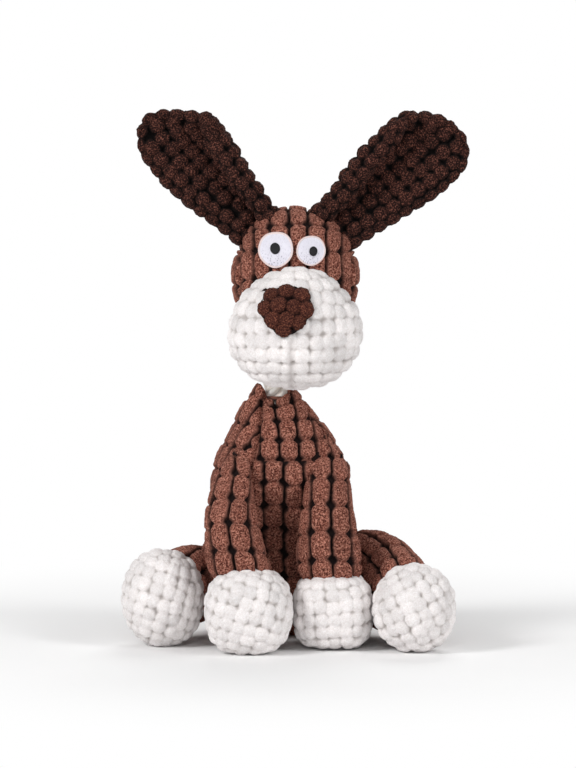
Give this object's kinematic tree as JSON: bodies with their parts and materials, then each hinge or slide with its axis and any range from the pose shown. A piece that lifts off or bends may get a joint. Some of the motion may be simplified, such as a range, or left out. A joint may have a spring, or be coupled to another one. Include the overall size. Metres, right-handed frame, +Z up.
{
  "type": "squeaky dog toy",
  "caption": "Seated plush animal dog toy with a rope neck, cupped ears, a white snout and paws, floppy legs and a squeaker in the belly.",
  "frame": {"origin": "middle of the flat seat under the torso, on the surface the toy sits on", "axes": "+Z up, the toy faces -Y, +X to the right as seen from the front"},
  "size_m": [0.1783, 0.127, 0.2792],
  "materials": {
    "brown_pile": "reddish-brown cut-pile plush in raised blocks over a near-black backing",
    "dark_pile": "very dark brown bubble plush",
    "white_pile": "white bubble plush",
    "nose_pile": "dark brown bubble plush",
    "stuffing": "white polyester fibrefill",
    "white_felt": "flat white fabric with fine lilac-grey stitch rows",
    "black_thread": "black satin embroidery",
    "cotton_rope": "cream-white twisted cotton rope",
    "brown_thread": "brown polyester sewing thread",
    "white_plastic": "blow-moulded white polyethylene",
    "film_plastic": "thin clear reed film"
  },
  "bodies": {
    "torso": {"torso_cover": "brown_pile", "torso_fill": "stuffing", "rope_lower_knot": "cotton_rope", "squeaker_bulb": "white_plastic", "back_closing_stitch": "brown_thread"},
    "squeaker_reed_unit": {"squeaker_reed_holder": "white_plastic", "squeaker_reed": "film_plastic", "squeaker_reed_wedge": "white_plastic"},
    "neck_collar": {"neck_binding": "brown_thread"},
    "neck": {"neck_rope": "cotton_rope"},
    "head": {"head_cover": "brown_pile", "head_fill": "stuffing", "snout_cover": "white_pile", "snout_fill": "stuffing", "nose_patch": "nose_pile", "left_eye_disc": "white_felt", "right_eye_disc": "white_felt", "left_pupil": "black_thread", "right_pupil": "black_thread"},
    "left_ear": {"left_ear_front": "dark_pile", "left_ear_back": "dark_pile"},
    "right_ear": {"right_ear_front": "dark_pile", "right_ear_back": "dark_pile"},
    "left_front_leg": {"left_front_leg_cover": "brown_pile", "left_front_leg_fill": "stuffing", "left_front_paw_cover": "white_pile", "left_front_paw_fill": "stuffing"},
    "right_front_leg": {"right_front_leg_cover": "brown_pile", "right_front_leg_fill": "stuffing", "right_front_paw_cover": "white_pile", "right_front_paw_fill": "stuffing"},
    "left_hind_leg": {"left_hind_leg_cover": "brown_pile", "left_hind_leg_fill": "stuffing", "left_hind_paw_cover": "white_pile", "left_hind_paw_fill": "stuffing"},
    "right_hind_leg": {"right_hind_leg_cover": "brown_pile", "right_hind_leg_fill": "stuffing", "right_hind_paw_cover": "white_pile", "right_hind_paw_fill": "stuffing"}
  },
  "joints": [
    {"name": "neck_tilt", "type": "hinge", "parent": "torso", "child": "neck_collar", "pos_m": [-0.0025, -0.015, 0.129], "axis": [0, 1, 0], "range_deg": [-20, 20], "stiffness_Nm_per_rad": 0.3},
    {"name": "neck_nod", "type": "hinge", "parent": "neck_collar", "child": "neck", "pos_m": [-0.0025, -0.015, 0.129], "axis": [-1, 0, 0], "range_deg": [-30, 40], "stiffness_Nm_per_rad": 0.3},
    {"name": "head_turn", "type": "hinge", "parent": "neck", "child": "head", "pos_m": [-0.0025, -0.015, 0.129], "axis": [0, 0, 1], "range_deg": [-75, 75], "stiffness_Nm_per_rad": 0.05},
    {"name": "left_ear_flop", "type": "hinge", "parent": "head", "child": "left_ear", "pos_m": [-0.01517, -0.017, 0.21619], "axis": [0.7317, 0, 0.6816], "range_deg": [-60, 60], "stiffness_Nm_per_rad": 0.02},
    {"name": "right_ear_flop", "type": "hinge", "parent": "head", "child": "right_ear", "pos_m": [0.0315, -0.017, 0.21546], "axis": [0.6675, 0, -0.7446], "range_deg": [-60, 60], "stiffness_Nm_per_rad": 0.02},
    {"name": "left_front_leg_raise", "type": "hinge", "parent": "torso", "child": "left_front_leg", "pos_m": [-0.0255, -0.03532, 0.1], "axis": [-1, 0, 0], "range_deg": [0, 95]},
    {"name": "right_front_leg_raise", "type": "hinge", "parent": "torso", "child": "right_front_leg", "pos_m": [0.0255, -0.02823, 0.1], "axis": [-1, 0, 0], "range_deg": [0, 95]},
    {"name": "left_hind_leg_swing", "type": "hinge", "parent": "torso", "child": "left_hind_leg", "pos_m": [-0.0415, 0.001, 0.027], "axis": [-1, 0, 0], "range_deg": [-90, 60]},
    {"name": "right_hind_leg_swing", "type": "hinge", "parent": "torso", "child": "right_hind_leg", "pos_m": [0.0415, 0.001, 0.0325], "axis": [-1, 0, 0], "range_deg": [-90, 60]},
    {"name": "squeaker_squeeze", "type": "slide", "parent": "torso", "child": "squeaker_reed_unit", "axis": [0, -1, 0], "range_m": [0, 0.01], "stiffness_N_per_m": 400, "deforming": ["squeaker_bulb"]}
  ]
}
